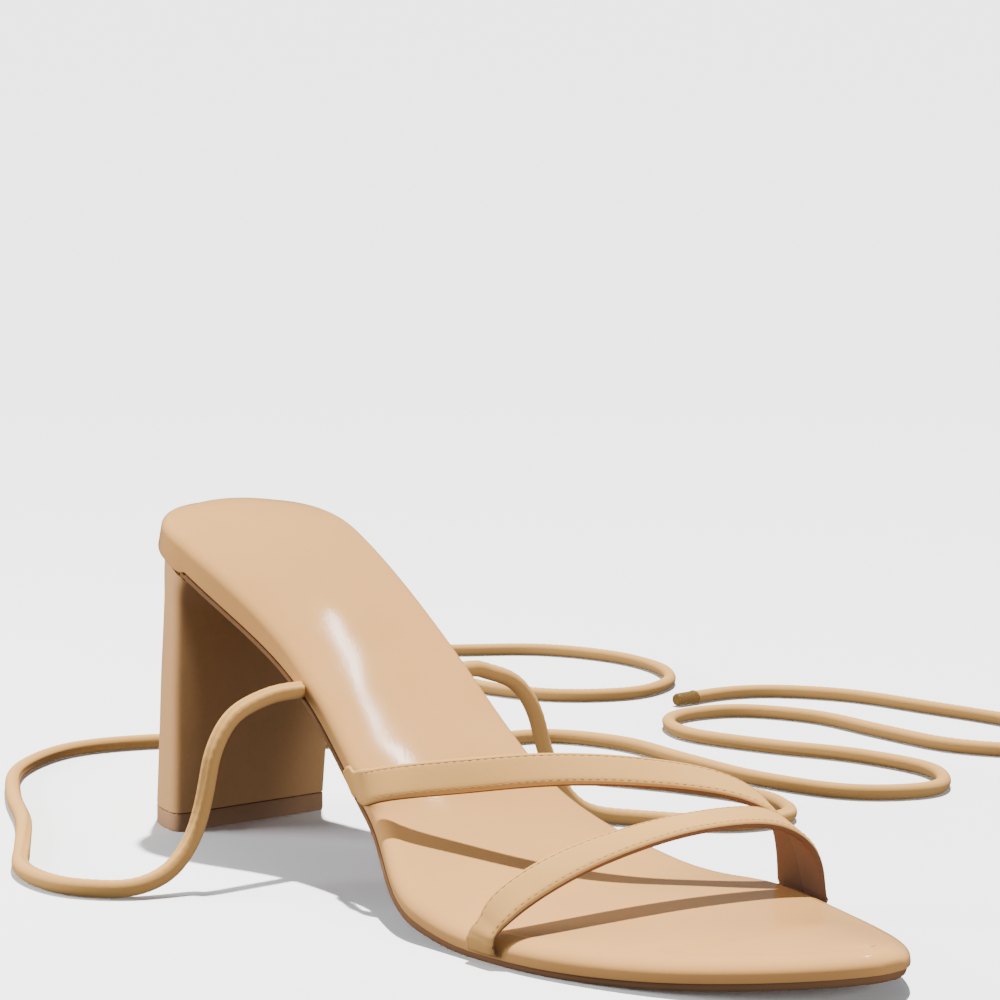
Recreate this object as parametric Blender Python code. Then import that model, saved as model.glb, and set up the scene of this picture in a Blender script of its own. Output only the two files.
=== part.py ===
"""Lace up heeled sandal, right shoe, standing empty on its heel and forefoot.

Tables are in millimetres and the scene is in metres, +Z up. A place on the shoe is given by its
distance across (towards the inner side of the foot), along (from the back of the heel to the toe)
and its height. The toe points to -Y and the inner side of the foot to +X.
"""

from math import cos, pi, radians, sin

import bmesh
import bpy
import numpy as np

MM = 0.001
GAP = 0.3  # between neighbours

# Where the middle of the shoe lies, so that the shoe stands centred on the origin
MIDDLE_ACROSS = -0.25
MIDDLE_ALONG = 108.05

# Footbed: the last's bottom line and outline
LENGTH = 222.1  # level length of the footbed, about 241 along its curve
HEEL_TOP = 79.0  # top of the footbed at the back of the heel
SEAT_SLOPE = 0.16  # fall of the heel seat at its back
BALL_AT = 148.8  # the footbed is flat from here
TREAD = 15.0  # length of the flat tread
TOE_SPRING = 4.1
CAMBER = 0.6

# The edge seen from the side, footbed and outsole together
SEAT_EDGE = 8.0
WAIST_EDGE = 5.85
FORE_EDGE = 6.3
OUTSOLE_WAIST = 1.15
OUTSOLE_FORE = 2.1
OUTSOLE_INSET = (0.05, 0.4)  # waist, forefoot
OUTSOLE_STEP = (24.2, 25.6)  # where the footbed steps up to let the outsole in

OUTLINE = (  # share of the length, half width lateral, half width medial
    (0.00, 27.4, 27.4),
    (0.12, 26.2, 26.3),
    (0.28, 21.4, 25.0),
    (0.45, 27.7, 22.7),
    (0.60, 40.9, 33.2),
    (0.72, 40.3, 40.3),
    (0.84, 36.9, 37.2),
    (1.00, 25.1, 33.1),
)
HEEL_END = (23.9, 2.32)  # length and roundness of the outline's heel end
TOE_END = (71.7, 1.91)

FOOTBED_EDGE = (  # inset, depth as a share of the thickness, further depth
    (2.0, 1.0, 0.0),
    (0.4, 1.0, 0.0),
    (0.0, 0.75, 0.0),
    (0.0, 0.0, 2.2),
    (0.35, 0.0, 1.2),
    (1.1, 0.0, 0.45),
    (2.4, 0.0, 0.08),
    (4.5, 0.0, -0.02),
)
CROWN = (0.55, 0.92)  # share of the width and length inside which the footbed is cambered

# Heel block and its top piece
HEEL_CAP = 4.4
HEEL_SECTIONS = (  # share of the height, back, breast, half width, middle across
    (0.00, -6.1, 17.6, 22.3, -2.2),
    (0.25, -4.9, 17.8, 22.8, -1.6),
    (0.50, -3.6, 18.0, 23.4, -1.0),
    (0.72, -2.2, 18.4, 24.0, -0.3),
    (0.84, -1.2, 19.0, 24.6, 0.0),
    (0.92, -0.4, 20.4, 25.4, 0.0),
    (1.00, 0.5, 23.4, 26.4, 0.0),
)
HEEL_ROUNDNESS = 2.3
BREAST_CORNER = 1.6

# Straps: rows run from the lateral end to the medial end
STRAP_THICK = 1.8
MARGIN_THICK = 1.0  # skived end under the footbed
MARGIN_LENGTH = 6.5
REAR_ENDS = (92.6, 160.0)  # stations of the footbed's edge where the strap is tucked in
FRONT_ENDS = (153.8, 168.2)
REAR_RAKE = 0.75  # how far the rear strap leans towards the toe for each step up the lateral side
REAR_STRAP = (  # across, along, height, turn and rise of the width, width
    (-29.0, 96.4, 24.3, 15, 40, 8.2),
    (-29.9, 101.0, 25.8, 20, 44, 8.2),
    (-28.3, 105.8, 27.1, 29, 49, 8.2),
    (-23.0, 111.2, 28.2, 37, 54, 8.2),
    (-15.0, 117.5, 29.1, 41, 54, 8.2),
    (-6.0, 124.8, 30.2, 43, 50, 8.2),
    (4.0, 133.0, 30.6, 43, 43, 8.2),
    (15.0, 142.3, 29.9, 42, 36, 8.2),
    (23.9, 149.9, 28.4, 38, 28, 8.2),
    (30.0, 154.6, 26.3, 33, 20, 8.3),
    (34.6, 157.4, 23.2, 25, 14, 8.5),
    (38.0, 159.2, 19.0, 16, 9, 8.8),
    (40.1, 159.9, 13.5, 8, 4, 9.0),
)
FRONT_STRAP = (
    (-41.3, 154.3, 7.6, 2, 8, 8.2),
    (-38.3, 155.4, 10.8, 5, 20, 8.2),
    (-31.5, 157.2, 15.2, 8, 27, 8.2),
    (-22.0, 159.2, 19.0, 9, 23, 8.2),
    (-10.0, 161.3, 21.8, 8, 16, 8.2),
    (3.0, 163.0, 23.5, 6, 12, 8.2),
    (16.0, 164.5, 23.8, 4, 13, 8.2),
    (26.0, 165.3, 22.9, 4, 17, 8.3),
    (32.0, 166.0, 21.0, 6, 20, 8.5),
    (36.0, 167.1, 17.4, 9, 16, 8.8),
    (38.3, 168.0, 12.0, 10, 6, 9.0),
)
STRAP_STATIONS = 46
STRAP_SECTION = (  # share of the half width, share of the half thickness
    (1.0, 0.45),
    (0.9, 1.0),
    (-0.9, 1.0),
    (-1.0, 0.45),
    (-1.0, -0.45),
    (-0.9, -1.0),
    (0.9, -1.0),
    (1.0, -0.45),
)

# Ankle ties: rolled tubes that leave a channel under the footbed's edge
TIE_RADIUS = 2.0
TIE_STATION = 67.2
TIE_SUNK = 0.5  # how far the tie's middle lies inside the footbed's under side
TIE_CHANNEL = 8.0  # depth of the channel
TIE_FALL = (90.0, 13)  # length and number of the finer steps near the exit
TIE_STEP = 12.2  # between the points of the rest of a tie's path
AGLET_LENGTH = 8.5
AGLET_PROFILE = (  # share of the length, radius
    (0.0, 2.0),
    (0.03, 2.15),
    (0.12, 2.15),
    (0.16, 2.0),
    (0.90, 1.95),
    (0.97, 1.8),
    (1.0, 1.5),
)
FLOOR = 2.1  # height of a tie's middle where it lies
LATERAL_ROUTE = (  # across, along, height, after the straight start
    (-33.0, 65.0, 40.2),
    (-41.0, 65.6, 37.2),
    (-46.5, 66.4, 30.0),
    (-49.0, 67.0, 21.0),
    (-52.5, 67.5, 12.0),
    (-59.0, 67.6, 5.0),
    (-68.0, 65.0, FLOOR),
    (-77.0, 54.0, FLOOR),
    (-77.0, 36.0, FLOOR),
    (-66.0, 16.0, FLOOR),
    (-52.0, -8.0, FLOOR),
    (-38.0, -38.0, FLOOR),
    (-20.0, -66.0, FLOOR),
    (6.0, -82.0, FLOOR),
    (34.0, -76.0, FLOOR),
    (56.0, -58.0, FLOOR),
    (80.0, -44.0, FLOOR),
    (108.0, -46.0, FLOOR),
    (124.0, -64.0, FLOOR),
    (118.0, -92.0, FLOOR),
    (96.0, -112.0, FLOOR),
    (88.0, -140.0, FLOOR),
    (106.0, -164.0, FLOOR),
    (136.0, -166.0, FLOOR),
    (160.0, -150.0, FLOOR),
    (168.0, -122.0, FLOOR),
    (162.0, -94.0, FLOOR),
    (170.0, -68.0, FLOOR),
    (192.0, -56.0, FLOOR),
    (216.0, -64.0, FLOOR),
    (233.0, -86.0, FLOOR),
    (238.0, -114.0, FLOOR),
    (228.0, -142.0, FLOOR),
    (204.0, -158.0, FLOOR),
    (180.0, -174.0, FLOOR),
    (168.0, -190.0, FLOOR),
)
MEDIAL_ROUTE = (
    (33.0, 65.0, 40.2),
    (41.0, 65.8, 37.2),
    (46.5, 66.8, 30.0),
    (49.0, 67.6, 21.0),
    (52.5, 68.6, 12.0),
    (58.0, 70.4, 5.0),
    (65.0, 74.0, FLOOR),
    (73.0, 86.0, FLOOR),
    (84.0, 99.0, FLOOR),
    (101.0, 101.0, FLOOR),
    (111.0, 84.0, FLOOR),
    (106.0, 58.0, FLOOR),
    (94.0, 32.0, FLOOR),
    (87.0, 4.0, FLOOR),
    (98.0, -18.0, FLOOR),
    (122.0, -18.0, FLOOR),
    (133.0, 4.0, FLOOR),
    (130.0, 34.0, FLOOR),
    (128.0, 64.0, FLOOR),
    (136.0, 92.0, FLOOR),
    (156.0, 101.0, FLOOR),
    (173.0, 86.0, FLOOR),
    (173.0, 58.0, FLOOR),
    (163.0, 32.0, FLOOR),
    (158.0, 4.0, FLOOR),
    (172.0, -16.0, FLOOR),
    (196.0, -14.0, FLOOR),
    (208.0, 8.0, FLOOR),
    (206.0, 38.0, FLOOR),
    (206.0, 66.0, FLOOR),
    (221.0, 85.0, FLOOR),
    (242.0, 76.0, FLOOR),
    (250.0, 50.0, FLOOR),
    (248.0, 18.0, FLOOR),
    (244.0, -12.0, FLOOR),
    (228.0, -34.0, FLOOR),
    (203.0, -38.0, FLOOR),
)
TIE_LENGTH = 850.0

LEATHER = (0.723, 0.491, 0.305)
COLOURS = {  # base colour, roughness, metallic
    "footbed": (LEATHER, 0.36, 0.0),
    "outsole": ((0.42, 0.27, 0.16), 0.6, 0.0),
    "heel": (LEATHER, 0.36, 0.0),
    "heel_cap": ((0.36, 0.22, 0.12), 0.5, 0.0),
    "straps": ((0.66, 0.44, 0.26), 0.42, 0.0),
    "tie": ((0.66, 0.44, 0.26), 0.42, 0.0),
    "aglet": ((0.83, 0.68, 0.42), 0.25, 1.0),
}


def smoothstep(x, start, end):
    t = np.clip((x - start) / (end - start), 0.0, 1.0)
    return t * t * (3 - 2 * t)


def monotone_curve(xs, ys, x):
    """Smooth curve through a table that never overshoots its rows."""
    xs, ys, x = np.asarray(xs, float), np.asarray(ys, float), np.asarray(x, float)
    step, rise = np.diff(xs), np.diff(ys) / np.diff(xs)
    slope = np.zeros(len(xs))
    for i in range(1, len(xs) - 1):
        if rise[i - 1] * rise[i] > 0:
            a, b = 2 * step[i] + step[i - 1], step[i] + 2 * step[i - 1]
            slope[i] = (a + b) / (a / rise[i - 1] + b / rise[i])
    slope[0], slope[-1] = rise[0], rise[-1]
    i = np.clip(np.searchsorted(xs, x, side="right") - 1, 0, len(step) - 1)
    t = (x - xs[i]) / step[i]
    return (
        (2 * t**3 - 3 * t**2 + 1) * ys[i]
        + (t**3 - 2 * t**2 + t) * step[i] * slope[i]
        + (3 * t**2 - 2 * t**3) * ys[i + 1]
        + (t**3 - t**2) * step[i] * slope[i + 1]
    )


def through(points, shares):
    """Points at shares of the way along a smooth curve through the given points."""
    points = np.asarray(points, float)
    knots = np.concatenate([[0], np.cumsum(np.sqrt(np.linalg.norm(np.diff(points[:, :3], axis=0), axis=1)))])
    slopes = np.empty_like(points)
    for i in range(1, len(points) - 1):
        before, after = knots[i] - knots[i - 1], knots[i + 1] - knots[i]
        back, ahead = (points[i] - points[i - 1]) / before, (points[i + 1] - points[i]) / after
        slopes[i] = (back * after + ahead * before) / (before + after)
    slopes[0] = 2 * (points[1] - points[0]) / (knots[1] - knots[0]) - slopes[1]
    slopes[-1] = 2 * (points[-1] - points[-2]) / (knots[-1] - knots[-2]) - slopes[-2]
    at = np.asarray(shares, float) * knots[-1]
    i = np.clip(np.searchsorted(knots, at, side="right") - 1, 0, len(points) - 2)
    step = (knots[i + 1] - knots[i])[:, None]
    t = ((at - knots[i]) / (knots[i + 1] - knots[i]))[:, None]
    return (
        (2 * t**3 - 3 * t**2 + 1) * points[i]
        + (t**3 - 2 * t**2 + t) * step * slopes[i]
        + (3 * t**2 - 2 * t**3) * points[i + 1]
        + (t**3 - t**2) * step * slopes[i + 1]
    )


def top_height(along):
    """Height of the last's bottom, which is the top of the footbed."""
    along = np.asarray(along, float)
    t = np.clip(along / BALL_AT, 0.0, 1.0)
    rise = FORE_EDGE + (HEEL_TOP - FORE_EDGE) * (2 * t**3 - 3 * t**2 + 1)
    rise = rise - SEAT_SLOPE * BALL_AT * (t**3 - 2 * t**2 + t)
    toe = np.clip((along - BALL_AT - TREAD) / (LENGTH - BALL_AT - TREAD), 0.0, 1.0)
    return rise + TOE_SPRING * toe**2


def top_normal(along):
    """Along and upward parts of the footbed's normal."""
    fall = (top_height(along + 0.5) - top_height(along - 0.5)) / 1.0
    size = np.sqrt(1 + fall**2)
    return -fall / size, 1 / size


def edge_thickness(along):
    waist = smoothstep(along, 0.15 * LENGTH, 0.35 * LENGTH)
    fore = smoothstep(along, 0.45 * LENGTH, 0.65 * LENGTH)
    return SEAT_EDGE + (WAIST_EDGE - SEAT_EDGE) * waist + (FORE_EDGE - WAIST_EDGE) * fore


def outsole_thickness(along):
    fore = smoothstep(along, 0.45 * LENGTH, 0.65 * LENGTH)
    return OUTSOLE_WAIST + (OUTSOLE_FORE - OUTSOLE_WAIST) * fore


def footbed_thickness(along):
    room = (outsole_thickness(along) + GAP) * smoothstep(along, *OUTSOLE_STEP)
    return edge_thickness(along) - room


def half_widths(along):
    """Where the outline lies, lateral and medial."""
    shares, lateral, medial = zip(*OUTLINE)
    share = np.asarray(along, float) / LENGTH
    left, right = monotone_curve(shares, lateral, share), monotone_curve(shares, medial, share)
    heel, heel_power = HEEL_END
    toe, toe_power = TOE_END
    a = np.clip((heel - along) / heel, 0.0, 1.0)
    b = np.clip((along - LENGTH + toe) / toe, 0.0, 1.0)
    end = np.clip(1 - a**heel_power, 0, 1) ** (1 / heel_power)
    end = end * np.clip(1 - b**toe_power, 0, 1) ** (1 / toe_power)
    middle, half = (right - left) / 2, (right + left) / 2
    return middle - half * end, middle + half * end


def stations(first, last, count, extra=()):
    """Places along the shoe, closer together at both ends."""
    even = (1 - np.cos(np.linspace(0, pi, count))) / 2 * (last - first) + first
    kept = [s for s in even if all(abs(s - e) > 1.2 for e in extra)]
    return np.array(sorted(kept + list(extra)))


def loop_of(along, lateral, medial):
    """A closed loop in plan: down the lateral side to the toe and back up the medial side."""
    across = np.concatenate([lateral, medial[::-1]])
    return np.stack([across, np.concatenate([along, along[::-1]])], axis=-1)


def inset(loop, distance):
    before, after = np.roll(loop, 1, axis=0), np.roll(loop, -1, axis=0)
    way = after - before
    way = way / np.linalg.norm(way, axis=1)[:, None]
    return loop + distance * np.stack([way[:, 1], -way[:, 0]], axis=-1)


def below_top(loop, depth):
    """The loop laid on the footbed's top and sunk by a depth along its normal."""
    across, along = loop[:, 0], loop[:, 1]
    forward, up = top_normal(along)
    return np.stack([across, along - forward * depth, top_height(along) - up * depth], axis=-1)


def seat_height(along, depth):
    """Height of the surface that lies at a depth under the footbed's top, over the heel."""
    station = np.linspace(-15.0, 60.0, 151)
    forward, up = top_normal(station)
    return np.interp(along, station - forward * depth, top_height(station) - up * depth)


def to_scene(points):
    """Across, along and height in millimetres to scene metres."""
    points = np.atleast_2d(np.asarray(points, float))
    return np.stack(
        [points[:, 0] - MIDDLE_ACROSS, MIDDLE_ALONG - points[:, 1], points[:, 2]], axis=-1
    ) * MM


def material(name):
    found = bpy.data.materials.get(name)
    if found:
        return found
    colour, roughness, metallic = COLOURS[name]
    found = bpy.data.materials.new(name)
    found.use_nodes = True
    shader = found.node_tree.nodes["Principled BSDF"]
    shader.inputs["Base Color"].default_value = (*colour, 1.0)
    shader.inputs["Roughness"].default_value = roughness
    shader.inputs["Metallic"].default_value = metallic
    return found


def add_object(name, data, look):
    obj = bpy.data.objects.new(name, data)
    bpy.context.scene.collection.objects.link(obj)
    data.materials.append(material(look))
    return obj


def solid_from_rings(name, rings, look, strips=True):
    """Bridges closed rings into one solid, with end caps made of strips across or of one face."""
    bm = bmesh.new()
    rows = [[bm.verts.new(p) for p in to_scene(ring)] for ring in rings]
    size = len(rows[0])
    for lower, upper in zip(rows, rows[1:]):
        for i in range(size):
            j = (i + 1) % size
            bm.faces.new((lower[i], lower[j], upper[j], upper[i]))
    for row in (rows[0], rows[-1]):
        if strips:
            for i in range(size // 2 - 1):
                bm.faces.new((row[i], row[i + 1], row[size - 2 - i], row[size - 1 - i]))
        else:
            bm.faces.new(row)
    bmesh.ops.recalc_face_normals(bm, faces=bm.faces)
    mesh = bpy.data.meshes.new(name)
    bm.to_mesh(mesh)
    bm.free()
    mesh.shade_smooth()
    mesh.set_sharp_from_angle(angle=radians(35))
    return add_object(name, mesh, look)


def hide_cutter(obj):
    obj.hide_render = True
    obj.display_type = "WIRE"
    return obj


def boolean(target, other, operation):
    step = target.modifiers.new(f"{operation.lower()} {other.name}", "BOOLEAN")
    step.operation = operation
    step.solver = "EXACT"
    step.object = other
    hide_cutter(other)


def edge_frame(station, side):
    """The footbed's edge at a station: its point, its outward, heelward and upward directions."""
    column = 1 if side > 0 else 0
    across = half_widths(station)[column]
    ahead, behind = half_widths(station + 1)[column], half_widths(station - 1)[column]
    forward, up = top_normal(station)
    heelward = np.array([behind - ahead, -2 * up, 2 * forward])
    heelward /= np.linalg.norm(heelward)
    upward = np.array([0.0, forward, up])
    outward = np.cross(heelward, upward) * side
    if outward[0] * side < 0:
        outward = -outward
    point = np.array([across, station, float(top_height(station))])
    return point, outward, heelward, upward


def strap_end(station, side, width, rake=0.0):
    """Rows of a strap's end, from its tip under the footbed up the footbed's side."""
    point, outward, heelward, upward = edge_frame(station, side)
    thick = float(footbed_thickness(station))
    half, thin = STRAP_THICK / 2, MARGIN_THICK / 2
    shape = (  # outward, depth, half thickness outward, half thickness down
        (-MARGIN_LENGTH, thick - thin, 0.0, thin),
        (-MARGIN_LENGTH / 2, thick - thin, 0.0, thin),
        (GAP + thin, thick - thin, thin, thin),
        (GAP + thin, thick - 1.4, thin, 0.0),
        (GAP + half, thick - 2.3, half, 0.0),
    )
    rows = []
    for out, depth, thick_out, thick_down in shape:
        middle = point + out * outward - depth * upward
        middle = middle - rake * (thick - thin - depth) * heelward
        rows.append((middle, thick_out * outward - thick_down * upward, width / 2 * heelward))
    return rows


def strap_arch(table, first, last):
    """Frames of the free part of a strap between the last rows of its two ends."""
    start, finish = [(*end[0], *(end[2] / np.linalg.norm(end[2]))) for end in (first, last)]
    rows = [(*start, 2 * np.linalg.norm(first[2]))]
    for across, along, height, turn, rise, width in table:
        turn, rise = radians(turn), radians(rise)
        rows.append((across, along, height, sin(turn) * cos(rise), -cos(turn) * cos(rise), sin(rise), width))
    rows.append((*finish, 2 * np.linalg.norm(last[2])))
    dense = through(rows, np.linspace(0, 1, 4 * STRAP_STATIONS))
    length = np.concatenate([[0], np.cumsum(np.linalg.norm(np.diff(dense[:, :3], axis=0), axis=1))])
    picked = np.linspace(0, length[-1], STRAP_STATIONS)
    even = np.stack([np.interp(picked, length, dense[:, k]) for k in range(7)], axis=-1)
    tangents = np.gradient(even[:, :3], axis=0)
    frames = []
    for row, tangent in zip(even, tangents):
        tangent = tangent / np.linalg.norm(tangent)
        heelward = row[3:6] - np.dot(row[3:6], tangent) * tangent
        heelward /= np.linalg.norm(heelward)
        outward = np.cross(heelward, tangent)
        frames.append((row[:3], outward * STRAP_THICK / 2, heelward * row[6] / 2))
    return frames[1:-1]


def strap(name, table, ends, rake=0.0):
    first = strap_end(ends[0], -1, table[0][5], rake)
    last = strap_end(ends[1], 1, table[-1][5])
    frames = first + strap_arch(table, first[-1], last[-1]) + last[::-1]
    rings = []
    for middle, half_thick, half_width in frames:
        rings.append([middle + w * half_width + t * half_thick for w, t in STRAP_SECTION])
    return solid_from_rings(name, rings, "straps", strips=False)


def cutter_box(name, station, side, width):
    """Room under the footbed's edge for a strap's tucked end."""
    point, outward, heelward, upward = edge_frame(station, side)
    thick = float(footbed_thickness(station))
    top, under = thick - MARGIN_THICK - GAP, thick + 1.0
    reach, half = MARGIN_LENGTH + GAP, width / 2 + GAP
    rings = []
    for out in (-reach, 4.0):
        corners = ((half, top), (-half, top), (-half, under), (half, under))
        rings.append([point + out * outward + w * heelward - d * upward for w, d in corners])
    return hide_cutter(solid_from_rings(name, rings, "footbed", strips=False))


def tie_start(side):
    """Where a tie's path starts and leaves the footbed's edge."""
    point, _, _, upward = edge_frame(TIE_STATION, side)
    depth = float(footbed_thickness(TIE_STATION)) - TIE_SUNK
    edge = point - depth * upward
    return edge + np.array([-side * TIE_CHANNEL, 0, 0]), edge


def tie_cutter(name, side):
    """A round channel that lets a tie in under the footbed's edge."""
    start, edge = tie_start(side)
    rings = []
    for across in (start[0] - side * GAP, edge[0] + side * 6):
        ring = []
        for i in range(24):
            angle = 2 * pi * i / 24
            radius = (TIE_RADIUS + GAP) / cos(pi / 24)
            ring.append((across, edge[1] + radius * cos(angle), edge[2] + radius * sin(angle)))
        rings.append(ring)
    return hide_cutter(solid_from_rings(name, rings, "footbed", strips=False))


def make_footbed(cutters):
    along = stations(0.08, LENGTH - 0.25, 46, OUTSOLE_STEP)
    outline = loop_of(along, *half_widths(along))
    rings = []
    for distance, share, depth in FOOTBED_EDGE:
        loop = inset(outline, distance)
        rings.append(below_top(loop, share * footbed_thickness(outline[:, 1]) + depth))
    middle = np.array([0.0, LENGTH / 2])
    crown = middle + (inset(outline, FOOTBED_EDGE[-1][0]) - middle) * np.array(CROWN)
    rings.append(below_top(crown, -CAMBER))
    footbed = solid_from_rings("footbed", rings, "footbed")
    for cutter in cutters:
        boolean(footbed, cutter, "DIFFERENCE")
    return footbed


def make_outsole(cutters):
    along = stations(OUTSOLE_STEP[1] + GAP, LENGTH - 0.25, 42)
    edge = loop_of(along, *half_widths(along))
    waist, forefoot = OUTSOLE_INSET
    step_in = waist + (forefoot - waist) * smoothstep(edge[:, 1], 0.5 * LENGTH, 0.7 * LENGTH)
    outline = inset(edge, step_in[:, None])
    under, sole = footbed_thickness(outline[:, 1]) + GAP, outsole_thickness(outline[:, 1])
    rings = (
        below_top(inset(outline, 1.5), under),
        below_top(outline, under),
        below_top(outline, under + 0.6 * sole),
        below_top(inset(outline, 0.3), under + sole),
        below_top(inset(outline, 2.0), under + sole),
    )
    outsole = solid_from_rings("outsole", rings, "outsole")
    for cutter in cutters:
        boolean(outsole, cutter, "DIFFERENCE")
    return outsole


def heel_loop(back, breast, half_width, middle):
    """A D in plan: round at the back and flat at the breast, with eased corners."""
    depth, power = breast - back, 2 / HEEL_ROUNDNESS
    lateral = []
    for i in range(13):
        angle = pi / 2 * i / 12
        lateral.append((half_width * max(sin(angle), 0.06) ** power, breast - depth * cos(angle) ** power))
    corner = []
    for degrees in (0, 35, 65, 90):
        ease = radians(degrees)
        inward = BREAST_CORNER * (1 - cos(ease))
        corner.append((half_width - inward, breast - BREAST_CORNER * (1 - sin(ease))))
    kept = [p for p in lateral if p[1] < breast - BREAST_CORNER - 0.3] + corner
    half = np.array([p[0] for p in kept])
    along = np.array([p[1] for p in kept])
    return loop_of(along, middle - half, middle + half)


def make_heel():
    shares, backs, breasts, halves, middles = zip(*HEEL_SECTIONS)
    rings = []
    for share in shares:
        loop = heel_loop(*[float(monotone_curve(shares, c, share)) for c in (backs, breasts, halves, middles)])
        bottom = np.column_stack([loop, np.full(len(loop), HEEL_CAP + GAP)])
        top = np.column_stack([loop, seat_height(loop[:, 1], SEAT_EDGE + GAP)])
        rings.append(bottom + (top - bottom) * share)
    return solid_from_rings("heel", rings, "heel")


def make_heel_cap():
    loop = heel_loop(*HEEL_SECTIONS[0][1:])
    rings = []
    for distance, height in ((0.5, 0.0), (0.0, 0.5), (0.0, HEEL_CAP)):
        ring = inset(loop, distance)
        rings.append(np.column_stack([ring, np.full(len(ring), height)]))
    return solid_from_rings("heel_cap", rings, "heel_cap")


def make_straps():
    straps = strap("straps", REAR_STRAP, REAR_ENDS, REAR_RAKE)
    boolean(straps, strap("front_strap", FRONT_STRAP, FRONT_ENDS), "UNION")
    return straps


def tie_path(side, route):
    """Even points along a tie, cut at the tie's real length."""
    start, edge = tie_start(side)
    begin = [start, (start + edge) / 2, edge, edge + np.array([side * 6.0, 0, -0.1])]
    dense = through([*begin, *route], np.linspace(0, 1, 6000))
    dense[:, 2] = np.maximum(dense[:, 2], FLOOR)
    length = np.concatenate([[0], np.cumsum(np.linalg.norm(np.diff(dense, axis=0), axis=1))])
    total = min(TIE_LENGTH, length[-1])
    fall, steps = TIE_FALL
    at = np.linspace(fall, total, int((total - fall) / TIE_STEP) + 1)
    at = np.concatenate([np.linspace(0, fall, steps + 1)[:-1], at])
    return np.stack([np.interp(at, length, dense[:, k]) for k in range(3)], axis=-1)


def make_tie(name, path):
    curve = bpy.data.curves.new(name, "CURVE")
    curve.dimensions = "3D"
    curve.bevel_depth = TIE_RADIUS * MM
    curve.bevel_resolution = 2
    curve.use_fill_caps = True
    spline = curve.splines.new("POLY")
    spline.points.add(len(path) - 1)
    for point, place in zip(spline.points, to_scene(path)):
        point.co = (*place, 1.0)
    return add_object(name, curve, "tie")


def make_aglet(name, path):
    """A metal tip, turned about the tie's last direction, just past the tie's end."""
    way = path[-1] - path[-2]
    way[2] = 0
    way /= np.linalg.norm(way)
    side, up = np.array([way[1], -way[0], 0]), np.array([0, 0, 1.0])
    start = path[-1] + GAP * way
    start[2] = AGLET_PROFILE[1][1] + 0.05
    rings = []
    for share, radius in AGLET_PROFILE:
        middle = start + share * AGLET_LENGTH * way
        angles = [2 * pi * i / 16 for i in range(16)]
        rings.append([middle + radius * (cos(a) * side + sin(a) * up) for a in angles])
    return solid_from_rings(name, rings, "aglet", strips=False)


def main():
    for obj in list(bpy.data.objects):
        bpy.data.objects.remove(obj, do_unlink=True)
    channels = [tie_cutter("channel_lateral", -1), tie_cutter("channel_medial", 1)]
    seats = [
        cutter_box("seat_rear_lateral", REAR_ENDS[0], -1, REAR_STRAP[0][5]),
        cutter_box("seat_rear_medial", REAR_ENDS[1], 1, REAR_STRAP[-1][5]),
        cutter_box("seat_front_lateral", FRONT_ENDS[0], -1, FRONT_STRAP[0][5]),
        cutter_box("seat_front_medial", FRONT_ENDS[1], 1, FRONT_STRAP[-1][5]),
    ]
    make_footbed(channels + seats)
    make_outsole(channels)
    make_heel()
    make_heel_cap()
    make_straps()
    for name, side, route in (("lateral", -1, LATERAL_ROUTE), ("medial", 1, MEDIAL_ROUTE)):
        path = tie_path(side, route)
        make_tie(f"tie_{name}", path)
        make_aglet(f"aglet_{name}", path)


main()
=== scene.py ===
"""Looks of a lace up heeled sandal, right shoe: leather, stitching, ties, camera, floor and light.

Tables are in millimetres and the scene is in metres, +Z up. A place on the shoe is given by its
distance across (towards the inner side of the foot), along (from the back of the heel to the toe)
and its height. The toe points to -Y and the inner side of the foot to +X.
"""

from math import cos, pi, radians, sin

import bmesh
import bpy
import numpy as np
from mathutils import Matrix, Vector


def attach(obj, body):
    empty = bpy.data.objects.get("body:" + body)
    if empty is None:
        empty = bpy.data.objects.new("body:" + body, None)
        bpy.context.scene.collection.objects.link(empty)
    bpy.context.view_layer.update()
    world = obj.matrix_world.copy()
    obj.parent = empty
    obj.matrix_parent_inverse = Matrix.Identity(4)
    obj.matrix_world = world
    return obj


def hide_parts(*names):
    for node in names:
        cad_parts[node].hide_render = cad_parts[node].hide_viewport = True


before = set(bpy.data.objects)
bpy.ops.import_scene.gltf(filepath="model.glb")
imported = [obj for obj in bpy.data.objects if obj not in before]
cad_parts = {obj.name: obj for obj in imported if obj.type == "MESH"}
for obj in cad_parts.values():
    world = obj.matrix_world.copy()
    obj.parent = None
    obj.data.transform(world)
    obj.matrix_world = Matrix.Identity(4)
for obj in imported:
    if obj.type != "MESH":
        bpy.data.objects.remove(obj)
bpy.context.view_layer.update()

MM = 0.001
GAP = 0.3  # between neighbours

# Where the middle of the shoe lies, so that the shoe stands centred on the origin
MIDDLE_ACROSS = -0.25
MIDDLE_ALONG = 108.05

# Footbed: the last's bottom line and outline
LENGTH = 222.1  # level length of the footbed, about 241 along its curve
HEEL_TOP = 79.0  # top of the footbed at the back of the heel
SEAT_SLOPE = 0.16  # fall of the heel seat at its back
BALL_AT = 148.8  # the footbed is flat from here
TREAD = 15.0  # length of the flat tread
TOE_SPRING = 4.1
CAMBER = 1.7  # rise of the footbed's middle above its edges
WAIST_ROLL = (3.0, 2.6)  # width and depth of the soft edge
FORE_ROLL = (6.2, 3.3)
FORE_LAP = 0.8  # how far the cover hides the outsole's upper edge

# The edge seen from the side, footbed and outsole together
SEAT_EDGE = 8.0
WAIST_EDGE = 5.85
FORE_EDGE = 6.3
OUTSOLE_WAIST = 1.15
OUTSOLE_FORE = 2.1
OUTSOLE_INSET = (0.05, 0.7)  # waist, forefoot
OUTSOLE_STEP = (24.2, 25.6)  # where the footbed steps up to let the outsole in

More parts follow.
